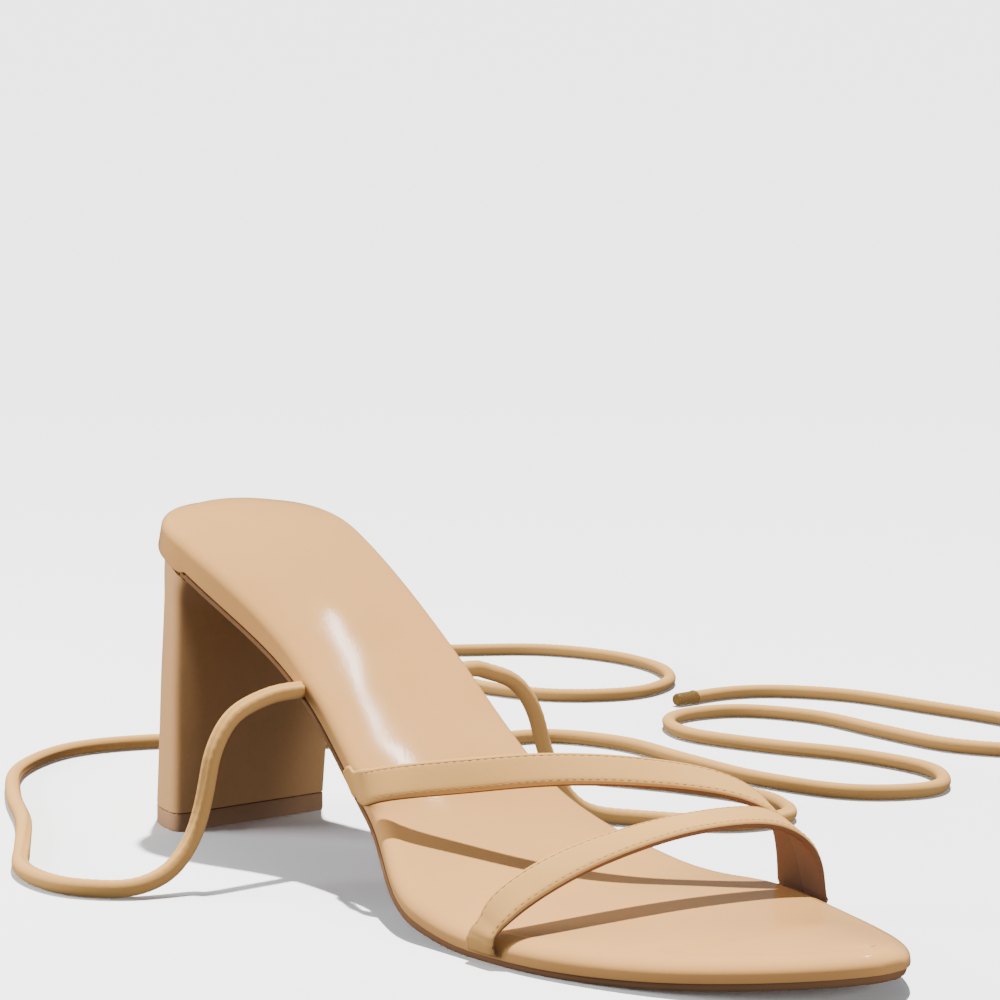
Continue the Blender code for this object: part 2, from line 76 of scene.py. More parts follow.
OUTLINE = (  # share of the length, half width lateral, half width medial
    (0.00, 27.4, 27.4),
    (0.12, 26.2, 26.3),
    (0.28, 21.4, 25.0),
    (0.45, 27.7, 22.7),
    (0.60, 40.9, 33.2),
    (0.72, 40.3, 40.3),
    (0.84, 36.9, 37.2),
    (1.00, 25.1, 33.1),
)
HEEL_END = (23.9, 2.32)  # length and roundness of the outline's heel end
TOE_END = (71.7, 1.91)


# Heel block and its top piece
HEEL_CAP = 4.4
HEEL_SECTIONS = (  # share of the height, back, breast, half width, middle across
    (0.00, -6.1, 17.6, 22.3, -2.2),
    (0.25, -4.9, 17.8, 22.8, -1.6),
    (0.50, -3.6, 18.0, 23.4, -1.0),
    (0.72, -2.2, 18.4, 24.0, -0.3),
    (0.84, -1.2, 19.0, 24.6, 0.0),
    (0.92, -0.4, 20.4, 25.4, 0.0),
    (1.00, 0.5, 23.4, 26.4, 0.0),
)
HEEL_ROUNDNESS = 2.3
BREAST_CORNER = 2.4

# Straps: rows run from the lateral end to the medial end
STRAP_THICK = 1.8
MARGIN_THICK = 1.0  # skived end under the footbed
MARGIN_LENGTH = 6.5
REAR_ENDS = (92.6, 160.0)  # stations of the footbed's edge where the strap is tucked in
FRONT_ENDS = (153.8, 168.2)
REAR_RAKE = 0.75  # how far the rear strap leans towards the toe for each step up the lateral side
REAR_STRAP = (  # across, along, height, turn and rise of the width, width
    (-29.0, 96.4, 24.3, 15, 40, 8.2),
    (-29.9, 101.0, 25.8, 20, 44, 8.2),
    (-28.3, 105.8, 27.1, 29, 49, 8.2),
    (-23.0, 111.2, 28.2, 37, 54, 8.2),
    (-15.0, 117.5, 29.1, 41, 54, 8.2),
    (-6.0, 124.8, 30.2, 43, 50, 8.2),
    (4.0, 133.0, 30.6, 43, 43, 8.2),
    (15.0, 142.3, 29.9, 42, 36, 8.2),
    (23.9, 149.9, 28.4, 38, 28, 8.2),
    (30.0, 154.6, 26.3, 33, 20, 8.3),
    (34.6, 157.4, 23.2, 25, 14, 8.5),
    (38.0, 159.2, 19.0, 16, 9, 8.8),
    (40.1, 159.9, 13.5, 8, 4, 9.0),
)
FRONT_STRAP = (
    (-41.3, 154.3, 7.6, 2, 8, 8.2),
    (-38.3, 155.4, 10.8, 5, 20, 8.2),
    (-31.5, 157.2, 15.2, 8, 27, 8.2),
    (-22.0, 159.2, 19.0, 9, 23, 8.2),
    (-10.0, 161.3, 21.8, 8, 16, 8.2),
    (3.0, 163.0, 23.5, 6, 12, 8.2),
    (16.0, 164.5, 23.8, 4, 13, 8.2),
    (26.0, 165.3, 22.9, 4, 17, 8.3),
    (32.0, 166.0, 21.0, 6, 20, 8.5),
    (36.0, 167.1, 17.4, 9, 16, 8.8),
    (38.3, 168.0, 12.0, 10, 6, 9.0),
)
STRAP_STATIONS = 46

# Ankle ties: rolled tubes that leave a channel under the footbed's edge
TIE_RADIUS = 2.0
TIE_STATION = 67.2
TIE_SUNK = 0.5  # how far the tie's middle lies inside the footbed's under side
TIE_CHANNEL = 8.0  # depth of the channel
AGLET_LENGTH = 8.5
AGLET_PROFILE = (  # share of the length, radius
    (0.0, 2.0),
    (0.03, 2.15),
    (0.12, 2.15),
    (0.16, 2.0),
    (0.90, 1.95),
    (0.97, 1.8),
    (1.0, 1.5),
)
FLOOR = 2.1  # height of a tie's middle where it lies
LATERAL_ROUTE = (  # across, along, height, after the straight start
    (-33.0, 65.0, 40.2),
    (-41.0, 65.6, 37.2),
    (-46.5, 66.4, 30.0),
    (-49.0, 67.0, 21.0),
    (-52.5, 67.5, 12.0),
    (-59.0, 67.6, 5.0),
    (-68.0, 65.0, FLOOR),
    (-77.0, 54.0, FLOOR),
    (-77.0, 36.0, FLOOR),
    (-66.0, 16.0, FLOOR),
    (-52.0, -8.0, FLOOR),
    (-38.0, -38.0, FLOOR),
    (-20.0, -66.0, FLOOR),
    (6.0, -82.0, FLOOR),
    (34.0, -76.0, FLOOR),
    (56.0, -58.0, FLOOR),
    (80.0, -44.0, FLOOR),
    (108.0, -46.0, FLOOR),
    (124.0, -64.0, FLOOR),
    (118.0, -92.0, FLOOR),
    (96.0, -112.0, FLOOR),
    (88.0, -140.0, FLOOR),
    (106.0, -164.0, FLOOR),
    (136.0, -166.0, FLOOR),
    (160.0, -150.0, FLOOR),
    (168.0, -122.0, FLOOR),
    (162.0, -94.0, FLOOR),
    (170.0, -68.0, FLOOR),
    (192.0, -56.0, FLOOR),
    (216.0, -64.0, FLOOR),
    (233.0, -86.0, FLOOR),
    (238.0, -114.0, FLOOR),
    (228.0, -142.0, FLOOR),
    (204.0, -158.0, FLOOR),
    (180.0, -174.0, FLOOR),
    (168.0, -190.0, FLOOR),
)
MEDIAL_ROUTE = (
    (33.0, 65.0, 40.2),
    (41.0, 65.8, 37.2),
    (46.5, 66.8, 30.0),
    (49.0, 67.6, 21.0),
    (52.5, 68.6, 12.0),
    (58.0, 70.4, 5.0),
    (65.0, 74.0, FLOOR),
    (73.0, 86.0, FLOOR),
    (84.0, 99.0, FLOOR),
    (101.0, 101.0, FLOOR),
    (111.0, 84.0, FLOOR),
    (106.0, 58.0, FLOOR),
    (94.0, 32.0, FLOOR),
    (87.0, 4.0, FLOOR),
    (98.0, -18.0, FLOOR),
    (122.0, -18.0, FLOOR),
    (133.0, 4.0, FLOOR),
    (130.0, 34.0, FLOOR),
    (128.0, 64.0, FLOOR),
    (136.0, 92.0, FLOOR),
    (156.0, 101.0, FLOOR),
    (173.0, 86.0, FLOOR),
    (173.0, 58.0, FLOOR),
    (163.0, 32.0, FLOOR),
    (158.0, 4.0, FLOOR),
    (172.0, -16.0, FLOOR),
    (196.0, -14.0, FLOOR),
    (208.0, 8.0, FLOOR),
    (206.0, 38.0, FLOOR),
    (206.0, 66.0, FLOOR),
    (221.0, 85.0, FLOOR),
    (242.0, 76.0, FLOOR),
    (250.0, 50.0, FLOOR),
    (248.0, 18.0, FLOOR),
    (244.0, -12.0, FLOOR),
    (228.0, -34.0, FLOOR),
    (203.0, -38.0, FLOOR),
)
TIE_LENGTH = 850.0

# Camera, fitted to the photo's view
CAMERA_AT = (-366.9, 549.1, 142.0)  # across, along, height
CAMERA_TURN = (39.83, 5.49, 0.47)  # azimuth, fall and roll in degrees
FOCAL = 2.636  # lens length as a share of the picture's width

# Light
SUN_TRAVEL = (-20.0, -18.0, -96.0)
SUN_ANGLE = 2.0
SUN_STRENGTH = 12.6
SUN_COLOUR = (1.0, 0.98, 0.945)
SKY = (0.97, 0.985, 1.0)
SKY_STRENGTH = 0.2
FLOOR_NEAR = 12000.0  # how far the floor reaches in front, and to each side
FLOOR_SIDE = 14000.0
BACKDROP_BEND = (1300.0, 1800.0)  # where the floor starts to bend up, and its radius
BACKDROP_SLOPE = 8.0  # degrees, so that the backdrop is as bright as the floor
BACKDROP_LENGTH = 9000.0
SOFT_BOXES = (  # name, place, aim, size in metres, power, whether it shows in reflections
    ("side_fill", (-0.5, 0.45, 0.2), (0.0, 0.09, 0.045), 0.35, 7.5, False),
    ("front_fill", (0.12, -1.35, 0.36), (0.0, -0.05, 0.02), 0.6, 13.0, False),
)
STRIP_ENDS = ((0.486, 0.183, 0.798), (0.412, 0.095, 0.815))  # in metres, for the streak on the footbed
STRIP_WIDTH = 0.014
STRIP_POWER = 0.42
FLOOR_COLOUR = (0.95, 0.965, 0.99)

# Finishes, as linear colours
LEATHER = (0.585, 0.30, 0.10)
# Heel: a paler, less saturated copy of the footbed's leather, painted to look like that leather in
# shade
HEEL_LEATHER_SHADE_TONE = (0.63, 0.345, 0.145)
STRAP_LEATHER = (0.56, 0.305, 0.098)
THREAD = (0.50, 0.265, 0.09)
# Strap lining: a dark brown that is painted shade on the straps' inner faces and lower edges
LINING_PAINTED_SHADE = (0.15, 0.08, 0.05)
# Outsole: a dark brown that is painted shade where the outsole shows under the footbed's edge
SOLE_PAINTED_SHADE = (0.21, 0.105, 0.05)
CAP = (0.42, 0.235, 0.125)
GOLD = (0.84, 0.50, 0.17)

# Stitches along the straps' edges
STITCH_PITCH = 1.7
STITCH_LENGTH = 1.25
STITCH_RADIUS = 0.10
STITCH_FROM_EDGE = 0.95

# Where a strap goes down over the footbed's edge
END_THIN = 0.55  # share of the thickness at its end
END_NARROW = (0.6, 6.5, 2.6)  # taken off half its width, distance along it, half the length

# Seam along the ties
SEAM_TURN = 1.3  # turns of the seam along a whole tie
SEAM_GROOVE = (0.26, 0.19)  # depth, half its width in radians
SEAM_SHOULDER = (0.06, 0.5, 0.24)  # rise, angle from the seam, half its width
PUCKER = (0.05, 0.42, 0.3)
PUCKER_PITCH = 2.3


def smoothstep(x, start, end):
    t = np.clip((x - start) / (end - start), 0.0, 1.0)
    return t * t * (3 - 2 * t)


def bell(x, middle, width):
    return np.exp(-(((x - middle) / width) ** 2))


def monotone_curve(xs, ys, x):
    """Smooth curve through a table that never overshoots its rows."""
    xs, ys, x = np.asarray(xs, float), np.asarray(ys, float), np.asarray(x, float)
    step, rise = np.diff(xs), np.diff(ys) / np.diff(xs)
    slope = np.zeros(len(xs))
    for i in range(1, len(xs) - 1):
        if rise[i - 1] * rise[i] > 0:
            a, b = 2 * step[i] + step[i - 1], step[i] + 2 * step[i - 1]
            slope[i] = (a + b) / (a / rise[i - 1] + b / rise[i])
    slope[0], slope[-1] = rise[0], rise[-1]
    i = np.clip(np.searchsorted(xs, x, side="right") - 1, 0, len(step) - 1)
    t = (x - xs[i]) / step[i]
    return (
        (2 * t**3 - 3 * t**2 + 1) * ys[i]
        + (t**3 - 2 * t**2 + t) * step[i] * slope[i]
        + (3 * t**2 - 2 * t**3) * ys[i + 1]
        + (t**3 - t**2) * step[i] * slope[i + 1]
    )


def through(points, shares):
    """Points at shares of the way along a smooth curve through the given points."""
    points = np.asarray(points, float)
    steps = np.linalg.norm(np.diff(points[:, :3], axis=0), axis=1)
    knots = np.concatenate([[0], np.cumsum(np.sqrt(steps))])
    slopes = np.empty_like(points)
    for i in range(1, len(points) - 1):
        before, after = knots[i] - knots[i - 1], knots[i + 1] - knots[i]
        back, ahead = (points[i] - points[i - 1]) / before, (points[i + 1] - points[i]) / after
        slopes[i] = (back * after + ahead * before) / (before + after)
    slopes[0] = 2 * (points[1] - points[0]) / (knots[1] - knots[0]) - slopes[1]
    slopes[-1] = 2 * (points[-1] - points[-2]) / (knots[-1] - knots[-2]) - slopes[-2]
    at = np.asarray(shares, float) * knots[-1]
    i = np.clip(np.searchsorted(knots, at, side="right") - 1, 0, len(points) - 2)
    step = (knots[i + 1] - knots[i])[:, None]
    t = ((at - knots[i]) / (knots[i + 1] - knots[i]))[:, None]
    return (
        (2 * t**3 - 3 * t**2 + 1) * points[i]
        + (t**3 - 2 * t**2 + t) * step * slopes[i]
        + (3 * t**2 - 2 * t**3) * points[i + 1]
        + (t**3 - t**2) * step * slopes[i + 1]
    )


def top_height(along):
    """Height of the last's bottom, which is the top of the footbed."""
    along = np.asarray(along, float)
    t = np.clip(along / BALL_AT, 0.0, 1.0)
    rise = FORE_EDGE + (HEEL_TOP - FORE_EDGE) * (2 * t**3 - 3 * t**2 + 1)
    rise = rise - SEAT_SLOPE * BALL_AT * (t**3 - 2 * t**2 + t)
    toe = np.clip((along - BALL_AT - TREAD) / (LENGTH - BALL_AT - TREAD), 0.0, 1.0)
    return rise + TOE_SPRING * toe**2


def top_normal(along):
    """Along and upward parts of the footbed's normal."""
    fall = (top_height(along + 0.5) - top_height(along - 0.5)) / 1.0
    size = np.sqrt(1 + fall**2)
    return -fall / size, 1 / size


def edge_thickness(along):
    waist = smoothstep(along, 0.15 * LENGTH, 0.35 * LENGTH)
    fore = smoothstep(along, 0.45 * LENGTH, 0.65 * LENGTH)
    return SEAT_EDGE + (WAIST_EDGE - SEAT_EDGE) * waist + (FORE_EDGE - WAIST_EDGE) * fore


def outsole_thickness(along):
    fore = smoothstep(along, 0.45 * LENGTH, 0.65 * LENGTH)
    return OUTSOLE_WAIST + (OUTSOLE_FORE - OUTSOLE_WAIST) * fore


def footbed_thickness(along):
    room = (outsole_thickness(along) + GAP) * smoothstep(along, *OUTSOLE_STEP)
    return edge_thickness(along) - room


def half_widths(along):
    """Where the outline lies, lateral and medial."""
    shares, lateral, medial = zip(*OUTLINE)
    share = np.asarray(along, float) / LENGTH
    left, right = monotone_curve(shares, lateral, share), monotone_curve(shares, medial, share)
    heel, heel_power = HEEL_END
    toe, toe_power = TOE_END
    a = np.clip((heel - along) / heel, 0.0, 1.0)
    b = np.clip((along - LENGTH + toe) / toe, 0.0, 1.0)
    end = np.clip(1 - a**heel_power, 0, 1) ** (1 / heel_power)
    end = end * np.clip(1 - b**toe_power, 0, 1) ** (1 / toe_power)
    middle, half = (right - left) / 2, (right + left) / 2
    return middle - half * end, middle + half * end


def stations(first, last, count):
    """Places along the shoe whose steps along the outline are even."""
    fine = (1 - np.cos(np.linspace(0, pi, 6000))) / 2 * (last - first) + first
    lateral, medial = half_widths(fine)
    steps = np.hypot(np.diff(fine), np.diff(medial - lateral) / 2)
    length = np.concatenate([[0], np.cumsum(steps)])
    return np.interp(np.linspace(0, length[-1], count), length, fine)


def loop_of(along, lateral, medial):
    """A closed loop in plan: down the lateral side to the toe and back up the medial side."""
    across = np.concatenate([lateral, medial[::-1]])
    return np.stack([across, np.concatenate([along, along[::-1]])], axis=-1)


def inset(loop, distance):
    before, after = np.roll(loop, 1, axis=0), np.roll(loop, -1, axis=0)
    way = after - before
    way = way / np.linalg.norm(way, axis=1)[:, None]
    return loop + distance * np.stack([way[:, 1], -way[:, 0]], axis=-1)


def below_top(loop, depth):
    """The loop laid on the footbed's top and sunk by a depth along its normal."""
    across, along = loop[:, 0], loop[:, 1]
    forward, up = top_normal(along)
    return np.stack([across, along - forward * depth, top_height(along) - up * depth], axis=-1)


def seat_height(along, depth):
    """Height of the surface that lies at a depth under the footbed's top, over the heel."""
    station = np.linspace(-15.0, 60.0, 151)
    forward, up = top_normal(station)
    return np.interp(along, station - forward * depth, top_height(station) - up * depth)


def to_scene(points):
    """Across, along and height in millimetres to scene metres."""
    points = np.atleast_2d(np.asarray(points, float))
    return np.stack(
        [points[:, 0] - MIDDLE_ACROSS, MIDDLE_ALONG - points[:, 1], points[:, 2]], axis=-1
    ) * MM


def edge_frame(station, side):
    """The footbed's edge at a station: its point, its outward, heelward and upward directions."""
    column = 1 if side > 0 else 0
    across = half_widths(station)[column]
    ahead, behind = half_widths(station + 1)[column], half_widths(station - 1)[column]
    forward, up = top_normal(station)
    heelward = np.array([behind - ahead, -2 * up, 2 * forward])
    heelward /= np.linalg.norm(heelward)
    upward = np.array([0.0, forward, up])
    outward = np.cross(heelward, upward) * side
    if outward[0] * side < 0:
        outward = -outward
    point = np.array([across, station, float(top_height(station))])
    return point, outward, heelward, upward


def strap_end(station, side, width, rake=0.0):
    """Rows of a strap's end, from its tip under the footbed up the footbed's side."""
    point, outward, heelward, upward = edge_frame(station, side)
    thick = float(footbed_thickness(station))
    half, thin = STRAP_THICK / 2, MARGIN_THICK / 2
    shape = (  # outward, depth, half thickness outward, half thickness down
        (-MARGIN_LENGTH, thick - thin, 0.0, thin),
        (-MARGIN_LENGTH / 2, thick - thin, 0.0, thin),
        (GAP + thin, thick - thin, thin, thin),
        (GAP + thin, thick - 1.4, thin, 0.0),
        (GAP + half, thick - 2.3, half, 0.0),
    )
    rows = []
    for out, depth, thick_out, thick_down in shape:
        middle = point + out * outward - depth * upward
        middle = middle - rake * (thick - thin - depth) * heelward
        rows.append((middle, thick_out * outward - thick_down * upward, width / 2 * heelward))
    return rows


def strap_arch(table, first, last):
    """Frames of the free part of a strap between the last rows of its two ends."""
    start, finish = [(*end[0], *(end[2] / np.linalg.norm(end[2]))) for end in (first, last)]
    rows = [(*start, 2 * np.linalg.norm(first[2]))]
    for across, along, height, turn, rise, width in table:
        turn, rise = radians(turn), radians(rise)
        heelward = (sin(turn) * cos(rise), -cos(turn) * cos(rise), sin(rise))
        rows.append((across, along, height, *heelward, width))
    rows.append((*finish, 2 * np.linalg.norm(last[2])))
    dense = through(rows, np.linspace(0, 1, 4 * STRAP_STATIONS))
    length = np.concatenate([[0], np.cumsum(np.linalg.norm(np.diff(dense[:, :3], axis=0), axis=1))])
    picked = np.linspace(0, length[-1], STRAP_STATIONS)
    even = np.stack([np.interp(picked, length, dense[:, k]) for k in range(7)], axis=-1)
    tangents = np.gradient(even[:, :3], axis=0)
    frames = []
    for row, tangent in zip(even, tangents):
        tangent = tangent / np.linalg.norm(tangent)
        heelward = row[3:6] - np.dot(row[3:6], tangent) * tangent
        heelward /= np.linalg.norm(heelward)
        outward = np.cross(heelward, tangent)
        frames.append((row[:3], outward * STRAP_THICK / 2, heelward * row[6] / 2))
    return frames[1:-1]


def tie_start(side):
    """Where a tie's path starts and leaves the footbed's edge."""
    point, _, _, upward = edge_frame(TIE_STATION, side)
    depth = float(footbed_thickness(TIE_STATION)) - TIE_SUNK
    edge = point - depth * upward
    return edge + np.array([-side * TIE_CHANNEL, 0, 0]), edge


def heel_loop(back, breast, half_width, middle):
    """A D in plan: round at the back and flat at the breast, with eased corners."""
    depth, power = breast - back, 2 / HEEL_ROUNDNESS
    lateral = []
    for i in range(13):
        angle = pi / 2 * i / 12
        reach = max(sin(angle), 0.06) ** power
        lateral.append((half_width * reach, breast - depth * cos(angle) ** power))
    corner = []
    for degrees in (0, 35, 65, 90):
        ease = radians(degrees)
        inward = BREAST_CORNER * (1 - cos(ease))
        corner.append((half_width - inward, breast - BREAST_CORNER * (1 - sin(ease))))
    kept = [p for p in lateral if p[1] < breast - BREAST_CORNER - 0.3] + corner
    half = np.array([p[0] for p in kept])
    along = np.array([p[1] for p in kept])
    return loop_of(along, middle - half, middle + half)


class Finish:
    """A material whose nodes are added one at a time."""

    def __init__(self, name):
        self.material = bpy.data.materials.new(name)
        self.material.use_nodes = True
        self.tree = self.material.node_tree
        self.shader = self.tree.nodes["Principled BSDF"]
        self.place = self.add("ShaderNodeTexCoord").outputs["Object"]

    def add(self, kind, inputs=(), **settings):
        node = self.tree.nodes.new(kind)
        for name, value in settings.items():
            setattr(node, name, value)
        for name, value in dict(inputs).items():
            self.feed(node.inputs[name], value)
        return node

    def feed(self, socket, value):
        if isinstance(value, bpy.types.NodeSocket):
            self.tree.links.new(value, socket)
        else:
            socket.default_value = value

    def set(self, **values):
        for name, value in values.items():
            self.feed(self.shader.inputs[name.replace("_", " ")], value)

    def noise(self, per_metre, detail=3.0, roughness=0.5):
        made = self.add(
            "ShaderNodeTexNoise",
            {"Vector": self.place, "Scale": per_metre, "Detail": detail, "Roughness": roughness},
        )
        return made.outputs["Fac"]

    def cells(self, per_metre):
        made = self.add("ShaderNodeTexVoronoi", {"Vector": self.place, "Scale": per_metre})
        return made.outputs["Distance"]

    def between(self, value, low, high, low_in=0.3, high_in=0.7):
        made = self.add(
            "ShaderNodeMapRange",
            {"Value": value, "From Min": low_in, "From Max": high_in, "To Min": low, "To Max": high},
        )
        return made.outputs["Result"]

    def blend(self, share, first, second):
        made = self.add("ShaderNodeMix", data_type="RGBA")
        self.feed(made.inputs[0], share)
        self.feed(made.inputs[6], first)
        self.feed(made.inputs[7], second)
        return made.outputs[2]

    def bump(self, height, depth, strength, under=None):
        inputs = {"Height": height, "Distance": depth, "Strength": strength}
        if under is not None:
            inputs["Normal"] = under
        return self.add("ShaderNodeBump", inputs).outputs["Normal"]


def shade(colour, share):
    return (*[c * share for c in colour], 1.0)


def leather(name, colour, gloss=(0.34, 0.44), shine=0.35, grain=0.10, wave=0.25):
    """Smooth coated leather: faint mottling, fine grain and a slow unevenness in its gloss."""
    finish = Finish(name)
    mottle = finish.between(finish.noise(55.0, 4.0), 0.0, 1.0)
    fleck = finish.between(finish.noise(700.0, 2.0), 0.0, 0.25)
    tone = finish.blend(mottle, shade(colour, 0.965), shade(colour, 1.03))
    tone = finish.blend(fleck, tone, shade(colour, 0.93))
    slow = finish.bump(finish.noise(38.0, 1.0), 0.0012, wave)
    pores = finish.bump(finish.cells(1500.0), 0.00012, grain, slow)
    normal = finish.bump(finish.noise(3200.0, 2.0), 0.00005, grain, pores)
    rough = finish.between(finish.noise(120.0, 3.0), *gloss)
    finish.set(
        Base_Color=tone, Roughness=rough, Normal=normal, Specular_IOR_Level=shine,
        Coat_Weight=shine / 6, Coat_Roughness=0.2,
    )
    return finish.material


def moulded(name, colour, roughness=0.62):
    """Matt sheet with a fine pebbled surface."""
    finish = Finish(name)
    mottle = finish.between(finish.noise(90.0, 3.0), 0.0, 1.0)
    tone = finish.blend(mottle, shade(colour, 0.94), shade(colour, 1.05))
    normal = finish.bump(finish.noise(1800.0, 3.0), 0.0001, 0.3)
    finish.set(Base_Color=tone, Roughness=roughness, Normal=normal)
    return finish.material


def thread(name, colour):
    """Twisted sewing thread."""
    finish = Finish(name)
    twist = finish.noise(4000.0, 1.0)
    tone = finish.blend(finish.between(twist, 0.0, 1.0), shade(colour, 0.85), shade(colour, 1.08))
    finish.set(Base_Color=tone, Roughness=0.6, Normal=finish.bump(twist, 0.00008, 0.5))
    return finish.material


def metal(name, colour, roughness):
    finish = Finish(name)
    rough = finish.between(finish.noise(900.0, 2.0), roughness - 0.05, roughness + 0.08)
    normal = finish.bump(finish.noise(260.0, 1.0), 0.0002, 0.12)
    finish.set(Base_Color=(*colour, 1.0), Metallic=0.9, Roughness=rough, Normal=normal)
    return finish.material


def add_mesh(name, points, faces, look, sharp=60):
    mesh = bpy.data.meshes.new(name)
    mesh.from_pydata(to_scene(points).tolist(), [], faces)
    mesh.validate()
    bm = bmesh.new()
    bm.from_mesh(mesh)
    bmesh.ops.recalc_face_normals(bm, faces=bm.faces)
    bm.to_mesh(mesh)
    bm.free()
    mesh.shade_smooth()
    mesh.set_sharp_from_angle(angle=radians(sharp))
    mesh.materials.append(look)
    obj = bpy.data.objects.new(name, mesh)
    bpy.context.scene.collection.objects.link(obj)
    return obj


def sides(rings, first=0):
    """Faces between closed rings that lie one after another, from the point number first."""
    size = len(rings[0])
    made = []
    for i in range(len(rings) - 1):
        low = first + i * size
        for j in range(size):
            k = (j + 1) % size
            made.append((low + j, low + k, low + size + k, low + size + j))
    return made


def capped(rings, first=0):
    """Faces between closed rings, with one face over each end."""
    size = len(rings[0])
    last = first + (len(rings) - 1) * size
    ends = [tuple(range(first, first + size)), tuple(range(last, last + size))]
    return sides(rings, first) + ends


def lid(ring, first, points, lift=0.0, across=24):
    """Closes a ring that runs down one side and up the other with rows raised by lift."""
    size = len(ring)
    half = size // 2
    share = np.linspace(0, 1, across + 1)[1:-1]
    start = len(points)
    inner = []
    for i in range(half):
        left, right = ring[i], ring[size - 1 - i]
        rise = lift * (1 - (2 * share - 1) ** 2) * min(1.0, np.linalg.norm(right - left) / 40.0)
        row = left + share[:, None] * (right - left)
        row[:, 2] += rise
        inner.extend(row)
    points.extend(inner)
    count = across - 1

    def number(i, k):
        if k == 0:
            return first + i
        if k == across:
            return first + size - 1 - i
        return start + i * count + k - 1

    return [
        (number(i, k), number(i + 1, k), number(i + 1, k + 1), number(i, k + 1))
        for i in range(half - 1)
        for k in range(across)
    ]


def solid(name, rings, look, bottom=0.0, top=0.0, sharp=60):
    """Rings joined into one solid, with a lid on each end."""
    points = [p for ring in rings for p in ring]
    faces = sides(rings)
    size = len(rings[0])
    faces += lid(np.asarray(rings[0]), 0, points, bottom)
    faces += lid(np.asarray(rings[-1]), size * (len(rings) - 1), points, top)
    return add_mesh(name, np.array(points), faces, look, sharp)


def place_piece(piece, slot, *nodes):
    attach(piece, "root")
    if nodes:
        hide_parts(*nodes)
    return piece


def rolled_edge(radius, depth, count):
    """Inset and depth of points along a quarter round, from the side to the top."""
    angles = np.linspace(0, 0.455 * pi, count)
    return [(radius * (1 - cos(a)), depth * (1 - sin(a))) for a in angles]


def make_footbed(look):
    along = stations(0.05, LENGTH - 0.12, 150)
    outline = loop_of(along, *half_widths(along))
    thick = footbed_thickness(outline[:, 1])
    lap = FORE_LAP * smoothstep(outline[:, 1], 0.5 * LENGTH, 0.7 * LENGTH)
    rings = [below_top(inset(outline, 2.0), thick), below_top(inset(outline, 0.5), thick)]
    rings.append(below_top(inset(outline, 0.4), thick + 0.7 * lap))
    rings.append(below_top(inset(outline, 0.12), thick - 0.1 + lap))
    rings.append(below_top(outline, thick - 0.5 + lap))
    fore = smoothstep(outline[:, 1], 0.42 * LENGTH, 0.66 * LENGTH)
    for distance, depth in rolled_edge(1.0, 1.0, 14):
        wide, deep = (WAIST_ROLL[k] + (FORE_ROLL[k] - WAIST_ROLL[k]) * fore for k in (0, 1))
        rings.append(below_top(inset(outline, (distance * wide)[:, None]), depth * deep))
    return solid("padded_footbed", rings, look, top=CAMBER)


def make_outsole(look):
    along = stations(OUTSOLE_STEP[1] - 0.3, LENGTH - 0.12, 150)
    edge = loop_of(along, *half_widths(along))
    waist, forefoot = OUTSOLE_INSET
    step_in = waist + (forefoot - waist) * smoothstep(edge[:, 1], 0.5 * LENGTH, 0.7 * LENGTH)
    bevel = (0.1 + 0.9 * step_in)[:, None]
    outline = inset(edge, step_in[:, None])
    under, sole = footbed_thickness(outline[:, 1]) + GAP, outsole_thickness(outline[:, 1])
    rings = (
        below_top(inset(outline, 1.5), under),
        below_top(inset(outline, 0.15), under),
        below_top(outline, under + 0.12),
        below_top(inset(outline, 0.15 * bevel), under + 0.6 * sole),
        below_top(inset(outline, 0.5 * bevel), under + 0.88 * sole),
        below_top(inset(outline, bevel), under + sole),
        below_top(inset(outline, 2.0), under + sole),
    )
    return solid("thin_outsole", rings, look)


def make_heel(look):
    shares, backs, breasts, halves, middles = zip(*HEEL_SECTIONS)
    rings = []
    for share in np.linspace(0, 1, 36):
        columns = (backs, breasts, halves, middles)
        loop = heel_loop(*[float(monotone_curve(shares, column, share)) for column in columns])
        bottom = np.column_stack([loop, np.full(len(loop), HEEL_CAP + GAP)])
        top = np.column_stack([loop, seat_height(loop[:, 1], SEAT_EDGE + GAP)])
        rings.append(bottom + (top - bottom) * share)
    return solid("wrapped_heel", rings, look)


def make_heel_cap(look):
    loop = heel_loop(*HEEL_SECTIONS[0][1:])
    rings = []
    edge = ((0.5, 0.0), (0.12, 0.15), (0.0, 0.5), (0.0, HEEL_CAP - 0.25), (0.12, HEEL_CAP))
    for distance, height in edge:
        ring = inset(loop, distance)
        rings.append(np.column_stack([ring, np.full(len(ring), height)]))
    return solid("top_piece", rings, look)


def strap_section():
    """Across and outward shares of a folded strap's section, with a groove for each row of stitches."""
    half, thick = 4.1, STRAP_THICK / 2
    rounds = [(half - thick + thick * cos(a), thick * sin(a)) for a in np.linspace(-pi / 2, pi / 2, 9)]
    top = [half - d for d in (0.8, 0.88, 0.95, 1.02, 1.1, 1.3, 2.0, 3.0)]
    face = [(w, thick + 0.10 - 0.10 * (w / half) ** 2 - 0.09 * groove(half - w)) for w in [*top, 0.0]]
    right = rounds + face
    left = [(-w, t) for w, t in right[::-1][1:]]
    under = [(w, -thick) for w in (-2.0, 0.0, 2.0)]
    return np.array(right + left + under) / np.array([half, thick])


def groove(from_edge):
    return float(bell(from_edge, STITCH_FROM_EDGE, 0.16))


